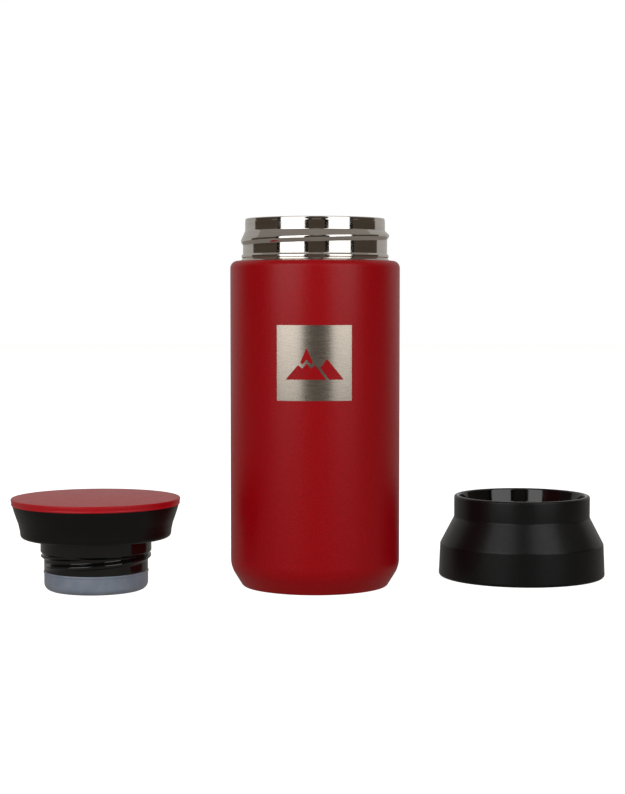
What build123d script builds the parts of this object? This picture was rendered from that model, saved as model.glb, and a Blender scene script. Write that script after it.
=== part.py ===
from build123d import *
import os

# An insulated water bottle taken apart in three pieces: a screw lid, a double-walled steel
# body and a drinking collar, all standing upright on one flat surface.
# All lengths are in millimetres and all angles in degrees. +Z is up, -Y is the front, and
# the origin is the centre of the body's base, on the surface that the three pieces stand on.

# Where the loose pieces stand
LID_PLACE = (-93.7, -11.5)
COLLAR_PLACE = (92.6, 25.2)

# Steel body
BODY_RADIUS = 36.5
BODY_HEIGHT = 158.2
SHOULDER_HEIGHT = 140.2
SHOULDER_ROUNDING = 3.0
CHAMFER_HEIGHT = 8.3
CHAMFER_ROUNDING = 12.0
CHAMFER_INSET = 0.3
COAT_THICKNESS = 0.15
COAT_BOTTOM = 0.2
COAT_NECK_RADIUS = 32.4
SHELL_WALL = 0.8
BASE_RING_OUTER = 31.1
BASE_RING_ROUNDING = 2.0
BASE_RING_INNER = 28.3
BASE_RING_THICKNESS = 0.94

# Front window in the coat, where the steel is bare
WINDOW_WIDTH = 31.3
WINDOW_BOTTOM = 81.8
WINDOW_TOP = 113.1
WINDOW_CENTRE_X = -0.35

# Neck of the steel body: a flare, a small bead, a wide lower wall and a narrower rim wall
NECK_FLARE_RADIUS = 31.4
NECK_FLARE_HEIGHT = 141.25
NECK_BEAD_RADIUS = 31.65
NECK_BEAD_FOOT = 141.9
NECK_BEAD_BOTTOM = 142.4
NECK_BEAD_TOP = 143.2
NECK_BEAD_SHOULDER = 144.0
NECK_ROUNDING = 0.2
NECK_LOWER_RADIUS = 31.0
NECK_STEP_BOTTOM = 147.2
NECK_STEP_TOP = 149.4
RIM_RADIUS = 29.95
RIM_ROUNDING = 0.45
RIM_SEAM_RADIUS = 29.35

# Rolled thread on the neck, one start, right-hand
NECK_THREAD_CREST = 31.85
NECK_THREAD_LEAD = 5.0
NECK_THREAD_ROOT_WIDTH = 6.4
NECK_THREAD_CREST_WIDTH = 0.8
NECK_THREAD_TURN = 330.0
NECK_THREAD_START_ANGLE = -255.0
NECK_THREAD_START_HEIGHT = 147.4

# Inner vessel
LINER_RADIUS = 33.5
LINER_WALL = 0.6
LINER_BOTTOM = 10.0
LINER_TOP = 137.5
LINER_CORNER = 5.0
LINER_SHOULDER_CORNER = 2.5
LINER_NECK_RADIUS = 29.05
MOUTH_RADIUS = 28.55
WELD_HEIGHT = 156.6
WELD_SLOPE = 0.3

# Base pieces
BASE_DISC_BOTTOM = 2.4
BASE_DISC_TOP = 3.2
BASE_RIM_WIDTH = 0.8
COVER_RADIUS = 27.3
COVER_BOTTOM = 0.5
COVER_THICKNESS = 0.5
COVER_DISH_RADIUS = 20.0
COVER_DISH_DEPTH = 0.4
COVER_DISH_SLOPE = 1.0
EVACUATION_HOLE = 1.2
SOLDER_HEAD_RADIUS = 2.6
SOLDER_HEAD_THICKNESS = 0.6
GETTER_PLACE = (12.0, 0.0)
GETTER_RADIUS = 5.4
GETTER_THICKNESS = 2.6
GETTER_ROUNDING = 0.4
CLIP_WALL = 0.5
CLIP_HEIGHT = 2.4
FOIL_THICKNESS = 0.1
FOIL_BOTTOM = 17.0
FOIL_TOP = 133.0
FIT_GAP = 0.05

# Lid: heights count from the surface that the seal stands on
LID_HEIGHT = 39.2
LID_DISC_RADIUS = 36.2
LID_DISC_LOWER_RADIUS = 35.6
LID_DISC_BOTTOM = 36.4
LID_DISC_THICKNESS = 1.8
LID_DISC_BEVEL = 0.6
LID_DISC_EDGE = 1.8
SKIRT_OUTLINE = [(35.0, 34.6), (34.5, 33.4), (33.8, 31.1), (32.9, 28.5), (32.35, 25.9), (31.9, 22.3)]
SKIRT_BOTTOM = 22.3
SKIRT_WALL = 2.2
SKIRT_FLOOR = 2.0
SKIRT_CORNER = 1.8
SKIRT_INSIDE_CORNER = 0.8
SKIRT_INSET = 0.1
PLUG_NECK_RADIUS = 23.6
PLUG_NECK_BOTTOM = 15.2
PLUG_NECK_SLOPE = 1.0
PLUG_ROOT_RADIUS = 22.1
PLUG_SPIGOT_RADIUS = 19.6
PLUG_SPIGOT_BOTTOM = 2.2
PLUG_WALL = 2.0
PLUG_ROUNDING = 0.4
PLUG_FLANGE_RADIUS = 26.0
SEAL_HEIGHT = 8.2
SEAL_RADIUS = 22.1
SEAL_FLOOR = 2.1
SEAL_CORNER = 3.0
SEAL_LIP_ROUNDING = 0.4
FOAM_FLOOR_GAP = 1.0

# Two-start thread on the lid's plug, right-hand, which runs up into the plug's wide neck
PLUG_THREAD_STARTS = 2
PLUG_THREAD_LEAD = 8.6
PLUG_THREAD_TURN = 285.0
PLUG_THREAD_START_ANGLE = -190.0
PLUG_THREAD_START_HEIGHT = 9.9
PLUG_THREAD_ROOT_WIDTH = 3.0
PLUG_THREAD_CREST_WIDTH = 1.2
PLUG_THREAD_CREST = 23.45

# Drinking collar: heights count from its lower edge
COLLAR_HEIGHT = 36.25
COLLAR_RIM_RADIUS = 30.2
COLLAR_CUP_RADIUS = 28.07
COLLAR_CUP_FLOOR_RADIUS = 27.0
CUP_LIP_ROUNDING = 0.9
CUP_CORNER = 1.2
COLLAR_SEAM_RADIUS = 29.1
COLLAR_KINK_HEIGHT = 26.5
COLLAR_KINK_ROUNDING = 1.5
COLLAR_CREASE_RADIUS = 36.35
COLLAR_CREASE_HEIGHT = 14.7
COLLAR_CREASE_ROUNDING = 0.8
COLLAR_SKIRT_RADIUS = 37.0
COLLAR_LIP_ROUNDING = 1.0
COLLAR_LOWER_CORNER = 1.2
SOCKET_RADIUS = 32.3
SOCKET_TOP = 16.5
SOCKET_ROUNDING = 0.5
SOCKET_CHAMFER = 0.8
SEAT_RADIUS = 31.0
SEAT_BOTTOM = 20.6
SEAT_TOP = 22.6
SEAT_CHAMFER = 2.4
CUP_FLOOR_TOP = 29.5
CUP_FLOOR_BOTTOM = 27.6
THROAT_ROOT_RADIUS = 23.85
THROAT_OUTER_RADIUS = 25.6
THROAT_BOTTOM = 14.0
THROAT_ROUNDING = 0.5
SEAL_BORE_RADIUS = 22.15
SEAL_BORE_TOP = 19.2
SEAL_BORE_SLOPE = 1.0
GASKET_INNER = 26.4
GASKET_OUTER = 30.9
GASKET_THICKNESS = 2.5
GASKET_ROUNDING = 0.5

# Thread inside the collar's socket, which turns onto the neck thread
SOCKET_THREAD_CREST = 31.2
SOCKET_THREAD_ROOT_WIDTH = 2.2
SOCKET_THREAD_CREST_WIDTH = 1.0
SOCKET_THREAD_START_HEIGHT = 4.6
SOCKET_THREAD_TURN = 330.0

# Thread inside the collar's throat, which takes the lid's plug
THROAT_THREAD_CREST = 22.6
THROAT_THREAD_ROOT_WIDTH = 1.7
THROAT_THREAD_CREST_WIDTH = 0.7
THROAT_THREAD_START_HEIGHT = 21.2
THROAT_THREAD_TURN = 220.0

THREAD_BITE = 0.3


def turned(outline):
    """Turn a closed outline about the Z axis. Each point is (radius, height, rounding)."""
    points = [(radius, 0, height) for radius, height, rounding in outline]
    roundings = [rounding for radius, height, rounding in outline]
    edge = FilletPolyline(*points, radius=roundings, close=True)
    return revolve(make_face(edge), Axis.Z, 360)


def sharp(points):
    """Give each (radius, height) point a rounding of zero."""
    return [(radius, height, 0) for radius, height in points]


def helical_ridge(root, crest, root_width, crest_width, lead, turn, start_height, start_angle):
    """One right-hand thread ridge between two radii, with its foot sunk into the wall."""
    foot = root - THREAD_BITE if crest > root else root + THREAD_BITE
    path = Helix(lead, lead * turn / 360, root)
    section = make_face(
        Polyline(
            (foot, 0, -root_width / 2),
            (crest, 0, -crest_width / 2),
            (crest, 0, crest_width / 2),
            (foot, 0, root_width / 2),
            close=True,
        )
    )
    ridge = sweep(section, path=path, is_frenet=True)
    return Pos(0, 0, start_height) * Rot(0, 0, start_angle) * ridge


def at_lid(solid):
    """Move a lid piece to where the lid stands."""
    return Pos(*LID_PLACE, 0) * solid


def at_collar(solid):
    """Move a collar piece to where the collar stands."""
    return Pos(*COLLAR_PLACE, 0) * solid


# Steel body ---------------------------------------------------------------------------------

STEEL_RADIUS = BODY_RADIUS - COAT_THICKNESS
STEEL_SHOULDER = SHOULDER_HEIGHT - COAT_THICKNESS
SHELL_INSIDE = STEEL_RADIUS - SHELL_WALL


def outer_shell():
    """Outer steel vessel: base ring, chamfer, straight wall, shoulder, neck and thread."""
    wall = turned([
        (BASE_RING_INNER, 0, 0),
        (BASE_RING_OUTER, 0, BASE_RING_ROUNDING),
        (STEEL_RADIUS, CHAMFER_HEIGHT, CHAMFER_ROUNDING),
        (STEEL_RADIUS, STEEL_SHOULDER, SHOULDER_ROUNDING),
        (COAT_NECK_RADIUS, STEEL_SHOULDER, 0),
        (NECK_FLARE_RADIUS, NECK_FLARE_HEIGHT, NECK_ROUNDING),
        (NECK_FLARE_RADIUS, NECK_BEAD_FOOT, 0),
        (NECK_BEAD_RADIUS, NECK_BEAD_BOTTOM, NECK_ROUNDING),
        (NECK_BEAD_RADIUS, NECK_BEAD_TOP, NECK_ROUNDING),
        (NECK_LOWER_RADIUS, NECK_BEAD_SHOULDER, 0),
        (NECK_LOWER_RADIUS, NECK_STEP_BOTTOM, 0),
        (RIM_RADIUS, NECK_STEP_TOP, 0),
        (RIM_RADIUS, BODY_HEIGHT, RIM_ROUNDING),
        (RIM_SEAM_RADIUS, BODY_HEIGHT, 0),
        (RIM_SEAM_RADIUS, STEEL_SHOULDER - SHELL_WALL, 0),
        (SHELL_INSIDE, STEEL_SHOULDER - SHELL_WALL, SHOULDER_ROUNDING - SHELL_WALL),
        (SHELL_INSIDE, CHAMFER_HEIGHT + CHAMFER_INSET, CHAMFER_ROUNDING - SHELL_WALL),
        (BASE_RING_OUTER - CHAMFER_INSET, BASE_RING_THICKNESS, 0),
        (BASE_RING_INNER, BASE_RING_THICKNESS, 0),
    ])
    thread = helical_ridge(
        RIM_RADIUS,
        NECK_THREAD_CREST,
        NECK_THREAD_ROOT_WIDTH,
        NECK_THREAD_CREST_WIDTH,
        NECK_THREAD_LEAD,
        NECK_THREAD_TURN,
        NECK_THREAD_START_HEIGHT,
        NECK_THREAD_START_ANGLE,
    )
    return wall + thread


def body_form(skin):
    """Solid of revolution over the body up to the neck, a skin's thickness off the steel."""
    return turned([
        (0, 0, 0),
        (BASE_RING_OUTER + skin, 0, BASE_RING_ROUNDING),
        (STEEL_RADIUS + skin, CHAMFER_HEIGHT, CHAMFER_ROUNDING),
        (STEEL_RADIUS + skin, STEEL_SHOULDER + skin, SHOULDER_ROUNDING + skin),
        (0, STEEL_SHOULDER + skin, 0),
    ])


def powder_coat():
    """Coat on the outside of the shell, from the base ring to the neck, with its window."""
    layer = body_form(COAT_THICKNESS) - body_form(0)
    neck_hole = Pos(0, 0, SHOULDER_HEIGHT) * Cylinder(COAT_NECK_RADIUS, SHOULDER_HEIGHT)
    bare_foot = Cylinder(BODY_RADIUS, 2 * COAT_BOTTOM)
    window_height = WINDOW_TOP - WINDOW_BOTTOM
    window_centre = (WINDOW_TOP + WINDOW_BOTTOM) / 2
    window = Pos(WINDOW_CENTRE_X, -BODY_RADIUS, window_centre) * Box(
        WINDOW_WIDTH, BODY_RADIUS, window_height
    )
    return layer - neck_hole - bare_foot - window


def inner_liner():
    """Inner steel vessel, joined to the outer shell only at the rim."""
    inside = LINER_RADIUS - LINER_WALL
    return turned([
        (0, LINER_BOTTOM, 0),
        (LINER_RADIUS, LINER_BOTTOM, LINER_CORNER),
        (LINER_RADIUS, LINER_TOP, LINER_SHOULDER_CORNER),
        (LINER_NECK_RADIUS, LINER_TOP, 0),
        (LINER_NECK_RADIUS, WELD_HEIGHT - WELD_SLOPE, 0),
        (RIM_SEAM_RADIUS, WELD_HEIGHT, 0),
        (RIM_SEAM_RADIUS, BODY_HEIGHT, 0),
        (MOUTH_RADIUS, BODY_HEIGHT, RIM_ROUNDING),
        (MOUTH_RADIUS, LINER_TOP - LINER_WALL, 0),
        (inside, LINER_TOP - LINER_WALL, LINER_SHOULDER_CORNER - LINER_WALL),
        (inside, LINER_BOTTOM + LINER_WALL, LINER_CORNER - LINER_WALL),
        (0, LINER_BOTTOM + LINER_WALL, 0),
    ])


def outer_base():
    """Pressed disc with a turned-down rim, and the evacuation hole at its centre."""
    return turned(sharp([
        (EVACUATION_HOLE, BASE_DISC_BOTTOM),
        (BASE_RING_INNER - BASE_RIM_WIDTH, BASE_DISC_BOTTOM),
        (BASE_RING_INNER - BASE_RIM_WIDTH, COVER_BOTTOM),
        (BASE_RING_INNER, COVER_BOTTOM),
        (BASE_RING_INNER, BASE_DISC_TOP),
        (EVACUATION_HOLE, BASE_DISC_TOP),
    ]))


def base_cover():
    """Thin stamped disc in the base recess, dished upwards at its centre."""
    upper = COVER_BOTTOM + COVER_THICKNESS
    return turned(sharp([
        (0, COVER_BOTTOM + COVER_DISH_DEPTH),
        (COVER_DISH_RADIUS - COVER_DISH_SLOPE, COVER_BOTTOM + COVER_DISH_DEPTH),
        (COVER_DISH_RADIUS, COVER_BOTTOM),
        (COVER_RADIUS, COVER_BOTTOM),
        (COVER_RADIUS, upper),
        (COVER_DISH_RADIUS, upper),
        (COVER_DISH_RADIUS - COVER_DISH_SLOPE, upper + COVER_DISH_DEPTH),
        (0, upper + COVER_DISH_DEPTH),
    ]))


def vacuum_seal_bead():
    """Solder plug that fills the evacuation hole, with a flat head below the disc."""
    head_bottom = BASE_DISC_BOTTOM - SOLDER_HEAD_THICKNESS
    return turned(sharp([
        (0, head_bottom),
        (SOLDER_HEAD_RADIUS, head_bottom),
        (SOLDER_HEAD_RADIUS, BASE_DISC_BOTTOM),
        (EVACUATION_HOLE, BASE_DISC_BOTTOM),
        (EVACUATION_HOLE, BASE_DISC_TOP),
        (0, BASE_DISC_TOP),
    ]))


def getter_clip():
    """Shallow metal cup on the outer base that holds the getter pill."""
    outside = GETTER_RADIUS + CLIP_WALL
    floor = BASE_DISC_TOP + CLIP_WALL
    cup = turned(sharp([
        (0, BASE_DISC_TOP),
        (outside, BASE_DISC_TOP),
        (outside, BASE_DISC_TOP + CLIP_HEIGHT),
        (GETTER_RADIUS, BASE_DISC_TOP + CLIP_HEIGHT),
        (GETTER_RADIUS, floor),
        (0, floor),
    ]))
    return Pos(*GETTER_PLACE, 0) * cup


def getter():
    """Gas-absorbing pill in the vacuum space."""
    floor = BASE_DISC_TOP + CLIP_WALL
    pill = turned([
        (0, floor, 0),
        (GETTER_RADIUS, floor, 0),
        (GETTER_RADIUS, floor + GETTER_THICKNESS, GETTER_ROUNDING),
        (0, floor + GETTER_THICKNESS, 0),
    ])
    return Pos(*GETTER_PLACE, 0) * pill


def reflective_foil():
    """Foil wrapped round the straight part of the inner vessel."""
    inside = LINER_RADIUS + FIT_GAP
    return turned(sharp([
        (inside, FOIL_BOTTOM),
        (inside + FOIL_THICKNESS, FOIL_BOTTOM),
        (inside + FOIL_THICKNESS, FOIL_TOP),
        (inside, FOIL_TOP),
    ]))


# Lid ----------------------------------------------------------------------------------------

def lid_top_disc():
    """Red disc with a bevelled upper edge and a band that tapers down over the skirt."""
    underside = LID_HEIGHT - LID_DISC_THICKNESS
    inside = LID_DISC_LOWER_RADIUS - LID_DISC_EDGE
    return at_lid(turned([
        (0, LID_HEIGHT, 0),
        (LID_DISC_RADIUS, LID_HEIGHT, LID_DISC_BEVEL),
        (LID_DISC_LOWER_RADIUS, LID_DISC_BOTTOM, LID_DISC_BEVEL / 2),
        (inside, LID_DISC_BOTTOM, 0),
        (inside, underside, 0),
        (0, underside, 0),
    ]))


def lid_skirt():
    """Black flared grip: a cup that stands under the disc, with a hole for the plug."""
    inside_lower = SKIRT_OUTLINE[-1][0] - SKIRT_WALL
    spigot_radius = LID_DISC_LOWER_RADIUS - LID_DISC_EDGE
    inside_upper = spigot_radius - SKIRT_WALL
    underside = LID_HEIGHT - LID_DISC_THICKNESS
    outside = [(radius, height, 0) for radius, height in SKIRT_OUTLINE[:-1]]
    return at_lid(turned([
        (PLUG_ROOT_RADIUS, SKIRT_BOTTOM, 0),
        (SKIRT_OUTLINE[-1][0], SKIRT_BOTTOM, SKIRT_CORNER),
        *reversed(outside),
        (LID_DISC_LOWER_RADIUS - SKIRT_INSET, LID_DISC_BOTTOM, 0),
        (spigot_radius, LID_DISC_BOTTOM, 0),
        (spigot_radius, underside, 0),
        (inside_upper, underside, 0),
        (inside_lower, SKIRT_BOTTOM + SKIRT_FLOOR, SKIRT_INSIDE_CORNER),
        (PLUG_ROOT_RADIUS, SKIRT_BOTTOM + SKIRT_FLOOR, 0),
    ]))


def lid_plug():
    """Glossy plug: flange in the skirt, wide neck, threaded wall and a spigot for the seal."""
    inside = PLUG_SPIGOT_RADIUS - PLUG_WALL
    flange_bottom = SKIRT_BOTTOM + SKIRT_FLOOR
    barrel = turned([
        (0, PLUG_SPIGOT_BOTTOM, 0),
        (PLUG_SPIGOT_RADIUS, PLUG_SPIGOT_BOTTOM, PLUG_ROUNDING),
        (PLUG_SPIGOT_RADIUS, SEAL_HEIGHT + FIT_GAP, 0),
        (PLUG_ROOT_RADIUS, SEAL_HEIGHT + FIT_GAP, PLUG_ROUNDING),
        (PLUG_ROOT_RADIUS, PLUG_NECK_BOTTOM - PLUG_NECK_SLOPE, 0),
        (PLUG_NECK_RADIUS, PLUG_NECK_BOTTOM, PLUG_ROUNDING),
        (PLUG_NECK_RADIUS, SKIRT_BOTTOM, 0),
        (PLUG_ROOT_RADIUS, SKIRT_BOTTOM, 0),
        (PLUG_ROOT_RADIUS, flange_bottom, 0),
        (PLUG_FLANGE_RADIUS, flange_bottom, 0),
        (PLUG_FLANGE_RADIUS, flange_bottom + PLUG_WALL, 0),
        (inside, flange_bottom + PLUG_WALL, 0),
        (inside, PLUG_SPIGOT_BOTTOM + PLUG_WALL, PLUG_ROUNDING),
        (0, PLUG_SPIGOT_BOTTOM + PLUG_WALL, 0),
    ])
    for start in range(PLUG_THREAD_STARTS):
        barrel = barrel + helical_ridge(
            PLUG_ROOT_RADIUS,
            PLUG_THREAD_CREST,
            PLUG_THREAD_ROOT_WIDTH,
            PLUG_THREAD_CREST_WIDTH,
            PLUG_THREAD_LEAD,
            PLUG_THREAD_TURN,
            PLUG_THREAD_START_HEIGHT,
            PLUG_THREAD_START_ANGLE + start * 360 / PLUG_THREAD_STARTS,
        )
    return at_lid(barrel)


def lid_insulation():
    """Foam that fills the lid: a wide disc in the skirt and a core in the plug."""
    core = PLUG_SPIGOT_RADIUS - PLUG_WALL - FIT_GAP
    core_bottom = PLUG_SPIGOT_BOTTOM + PLUG_WALL + FOAM_FLOOR_GAP
    flange_top = SKIRT_BOTTOM + SKIRT_FLOOR + PLUG_WALL + FIT_GAP
    top = LID_HEIGHT - LID_DISC_THICKNESS - FIT_GAP
    disc_radius = SKIRT_OUTLINE[-1][0] - SKIRT_WALL - FIT_GAP
    return at_lid(turned(sharp([
        (0, core_bottom),
        (core, core_bottom),
        (core, flange_top),
        (disc_radius, flange_top),
        (disc_radius, top),
        (0, top),
    ])))


def lid_seal():
    """Silicone boot over the plug's end. The lid stands on its flat floor."""
    inside = PLUG_SPIGOT_RADIUS + FIT_GAP
    return at_lid(turned([
        (0, 0, 0),
        (SEAL_RADIUS, 0, SEAL_CORNER),
        (SEAL_RADIUS, SEAL_HEIGHT, SEAL_LIP_ROUNDING),
        (inside, SEAL_HEIGHT, 0),
        (inside, SEAL_FLOOR, 0),
        (0, SEAL_FLOOR, 0),
    ]))


# Drinking collar ----------------------------------------------------------------------------

def collar_shell():
    """Satin outside: rim, cone and skirt, with the threaded socket for the bottle's neck."""
    skin = turned([
        (COLLAR_SEAM_RADIUS, COLLAR_HEIGHT, 0),
        (COLLAR_RIM_RADIUS, COLLAR_HEIGHT, COLLAR_LIP_ROUNDING),
        (COLLAR_RIM_RADIUS, COLLAR_KINK_HEIGHT, COLLAR_KINK_ROUNDING),
        (COLLAR_CREASE_RADIUS, COLLAR_CREASE_HEIGHT, COLLAR_CREASE_ROUNDING),
        (COLLAR_SKIRT_RADIUS, 0, COLLAR_LOWER_CORNER),
        (SOCKET_RADIUS, 0, SOCKET_ROUNDING),
        (SOCKET_RADIUS, SOCKET_TOP, 0),
        (SEAT_RADIUS, SOCKET_TOP + SOCKET_CHAMFER, 0),
        (SEAT_RADIUS, SEAT_TOP, 0),
        (COLLAR_SEAM_RADIUS, SEAT_TOP + SEAT_CHAMFER, 0),
    ])
    thread = helical_ridge(
        SOCKET_RADIUS,
        SOCKET_THREAD_CREST,
        SOCKET_THREAD_ROOT_WIDTH,
        SOCKET_THREAD_CREST_WIDTH,
        NECK_THREAD_LEAD,
        SOCKET_THREAD_TURN,
        SOCKET_THREAD_START_HEIGHT,
        NECK_THREAD_START_ANGLE,
    )
    return at_collar(skin + thread)


def collar_liner():
    """Glossy inside: cup wall and floor, threaded throat, seal bore and gasket seat."""
    wall = turned([
        (COLLAR_CUP_RADIUS, COLLAR_HEIGHT, CUP_LIP_ROUNDING),
        (COLLAR_CUP_FLOOR_RADIUS, CUP_FLOOR_TOP, CUP_CORNER),
        (THROAT_ROOT_RADIUS, CUP_FLOOR_TOP, THROAT_ROUNDING),
        (THROAT_ROOT_RADIUS, SEAL_BORE_TOP + SEAL_BORE_SLOPE, 0),
        (SEAL_BORE_RADIUS, SEAL_BORE_TOP, 0),
        (SEAL_BORE_RADIUS, THROAT_BOTTOM, THROAT_ROUNDING),
        (THROAT_OUTER_RADIUS, THROAT_BOTTOM, THROAT_ROUNDING),
        (THROAT_OUTER_RADIUS, SEAT_BOTTOM, 0),
        (SEAT_RADIUS, SEAT_BOTTOM, 0),
        (SEAT_RADIUS, SEAT_TOP, 0),
        (THROAT_OUTER_RADIUS, SEAT_TOP, 0),
        (THROAT_OUTER_RADIUS, CUP_FLOOR_BOTTOM, 0),
        (COLLAR_SEAM_RADIUS, CUP_FLOOR_BOTTOM, 0),
        (COLLAR_SEAM_RADIUS, COLLAR_HEIGHT, 0),
    ])
    for start in range(PLUG_THREAD_STARTS):
        wall = wall + helical_ridge(
            THROAT_ROOT_RADIUS,
            THROAT_THREAD_CREST,
            THROAT_THREAD_ROOT_WIDTH,
            THROAT_THREAD_CREST_WIDTH,
            PLUG_THREAD_LEAD,
            THROAT_THREAD_TURN,
            THROAT_THREAD_START_HEIGHT,
            PLUG_THREAD_START_ANGLE + start * 360 / PLUG_THREAD_STARTS,
        )
    return at_collar(wall)


def collar_gasket():
    """Flat silicone ring under the gasket seat, where the bottle's rim presses."""
    top = SEAT_BOTTOM - FIT_GAP
    return at_collar(turned([
        (GASKET_INNER, top - GASKET_THICKNESS, GASKET_ROUNDING),
        (GASKET_OUTER, top - GASKET_THICKNESS, GASKET_ROUNDING),
        (GASKET_OUTER, top, 0),
        (GASKET_INNER, top, 0),
    ]))


SUB_PARTS = [
    outer_shell,
    powder_coat,
    inner_liner,
    outer_base,
    base_cover,
    vacuum_seal_bead,
    getter_clip,
    getter,
    reflective_foil,
    lid_top_disc,
    lid_skirt,
    lid_plug,
    lid_insulation,
    lid_seal,
    collar_shell,
    collar_liner,
    collar_gasket,
]

os.makedirs("parts", exist_ok=True)
for sub_part in SUB_PARTS:
    export_step(sub_part(), f"parts/{sub_part.__name__}.step")
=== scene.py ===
import math

import bmesh
import bpy
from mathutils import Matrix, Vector


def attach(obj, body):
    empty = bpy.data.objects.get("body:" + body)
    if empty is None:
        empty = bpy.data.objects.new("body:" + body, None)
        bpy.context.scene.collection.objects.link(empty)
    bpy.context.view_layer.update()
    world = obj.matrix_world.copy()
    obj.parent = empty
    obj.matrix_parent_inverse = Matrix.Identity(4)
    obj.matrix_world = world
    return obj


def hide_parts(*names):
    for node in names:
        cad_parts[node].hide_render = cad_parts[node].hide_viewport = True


# An insulated water bottle taken apart in three pieces that stand in a row on one floor:
# the screw lid, the red steel body and the black drinking collar.
# Outlines are in millimetres, as (radius, height, rounding) from a piece's own axis and
# foot. Everything handed to Blender is in metres.

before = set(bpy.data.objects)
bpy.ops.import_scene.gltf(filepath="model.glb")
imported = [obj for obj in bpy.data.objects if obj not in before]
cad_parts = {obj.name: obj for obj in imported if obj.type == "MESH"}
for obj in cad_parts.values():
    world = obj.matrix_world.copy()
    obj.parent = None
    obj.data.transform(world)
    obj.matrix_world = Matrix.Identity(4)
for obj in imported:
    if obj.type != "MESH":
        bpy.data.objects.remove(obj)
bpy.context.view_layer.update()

MM = 0.001
TURN = 2 * math.pi

# How finely the turned surfaces are cut
SEGMENTS = 192
THREAD_SEGMENTS = 320
THREAD_SPACING = 0.18
ROUNDING_STEPS = 6
WINDOW_COLUMNS = 28
COAT_COLUMNS = 170
MARK_SPACING = 0.6
SHARP_ANGLE = math.radians(32)
WELD_DISTANCE = 1e-7
SHORTEST_EDGE = 1e-8

# The part of a noise texture's range that most of its values fall in
NOISE_LOW = 0.3
NOISE_HIGH = 0.7

# Where the loose pieces stand
BODY_PLACE = (0.0, 0.0)
LID_PLACE = (-93.7, -11.5)
COLLAR_PLACE = (92.6, 25.2)

# Steel body
BODY_RADIUS = 36.5
BODY_HEIGHT = 158.2
SHOULDER_HEIGHT = 140.2
SHOULDER_ROUNDING = 3.0
CHAMFER_HEIGHT = 8.3
CHAMFER_ROUNDING = 12.0
CHAMFER_INSET = 0.3
COAT = 0.15
STEEL_RADIUS = BODY_RADIUS - COAT
STEEL_SHOULDER = SHOULDER_HEIGHT - COAT
COAT_NECK_RADIUS = 32.4
SHELL_WALL = 0.8
SHELL_INSIDE = STEEL_RADIUS - SHELL_WALL
BASE_RING_OUTER = 31.1
BASE_RING_INNER = 28.3
BASE_RING_ROUNDING = 2.0
BASE_RING_THICKNESS = 0.94
NECK_FLARE_RADIUS = 31.35
NECK_BEAD_RADIUS = 31.65
NECK_ROOT_RADIUS = 31.0
NECK_STEP_RADIUS = 30.0
RIM_RADIUS = 29.95
RIM_ROUNDING = 0.45
RIM_SEAM_RADIUS = 29.35
MOUTH_RADIUS = 28.55

# Bare steel window on the front and the red mark left standing in it
WINDOW_LEFT = -16.0
WINDOW_RIGHT = 15.3
WINDOW_BOTTOM = 81.8
WINDOW_TOP = 113.1
MARK_BASE = 90.6

# Inner vessel
LINER_RADIUS = 33.5
LINER_WALL = 0.6
LINER_BOTTOM = 10.0
LINER_TOP = 137.5
LINER_CORNER = 5.0
LINER_SHOULDER_CORNER = 2.5
LINER_NECK_RADIUS = 29.05
WELD_HEIGHT = 156.6
WELD_SLOPE = 0.3

# Base pieces
EVACUATION_HOLE = 1.2
BASE_DISC_BOTTOM = 2.4
BASE_DISC_TOP = 3.2
BASE_RIM_RADIUS = 27.5
COVER_BOTTOM = 0.5
COVER_TOP = 1.0
COVER_RADIUS = 27.3
COVER_DISH_RADIUS = 20.0
COVER_DISH_SLOPE = 1.0
COVER_DISH_DEPTH = 0.4

# Lid
LID_HEIGHT = 39.2
DISC_UNDERSIDE = 37.4
DISC_BOTTOM = 36.4
DISC_RADIUS = 36.05
DISC_LOWER_RADIUS = 35.7
DISC_SPIGOT_RADIUS = 33.8
SKIRT_BOTTOM = 22.3
SKIRT_FLOOR = 24.3
SKIRT_RADIUS = 31.9
SKIRT_FLARE = ((32.3, 25.9), (32.95, 28.7), (33.85, 31.2), (34.85, 34.2))
SKIRT_FLARE_ROUNDING = 8.0
PLUG_ROOT_RADIUS = 22.1
PLUG_NECK_RADIUS = 23.6
PLUG_FLANGE_RADIUS = 26.0
PLUG_WALL = 2.0
SPIGOT_RADIUS = 19.6
SPIGOT_BOTTOM = 2.2
BOOT_HEIGHT = 8.2
BOOT_FLOOR = 2.1
BOOT_LIP_RADIUS = 22.35
FIT_GAP = 0.05

# Drinking collar
COLLAR_HEIGHT = 36.25
COLLAR_RIM_RADIUS = 30.2
COLLAR_SEAM_RADIUS = 29.1
COLLAR_KINK_HEIGHT = 26.5
COLLAR_CREASE_RADIUS = 36.35
COLLAR_CREASE_HEIGHT = 14.7
COLLAR_SKIRT_RADIUS = 37.0
SOCKET_RADIUS = 32.3
SOCKET_TOP = 16.5
SEAT_RADIUS = 31.0
SEAT_BOTTOM = 20.6
SEAT_TOP = 22.6
CUP_RADIUS = 28.07
CUP_FLOOR_RADIUS = 27.0
CUP_FLOOR_TOP = 29.5
CUP_FLOOR_BOTTOM = 27.6
THROAT_ROOT_RADIUS = 23.85
THROAT_OUTER_RADIUS = 25.6
THROAT_BOTTOM = 14.0
SEAL_BORE_RADIUS = 22.15
SEAL_BORE_TOP = 19.2
RING_INNER = 26.4
RING_OUTER = 30.9
RING_THICKNESS = 2.5

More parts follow.
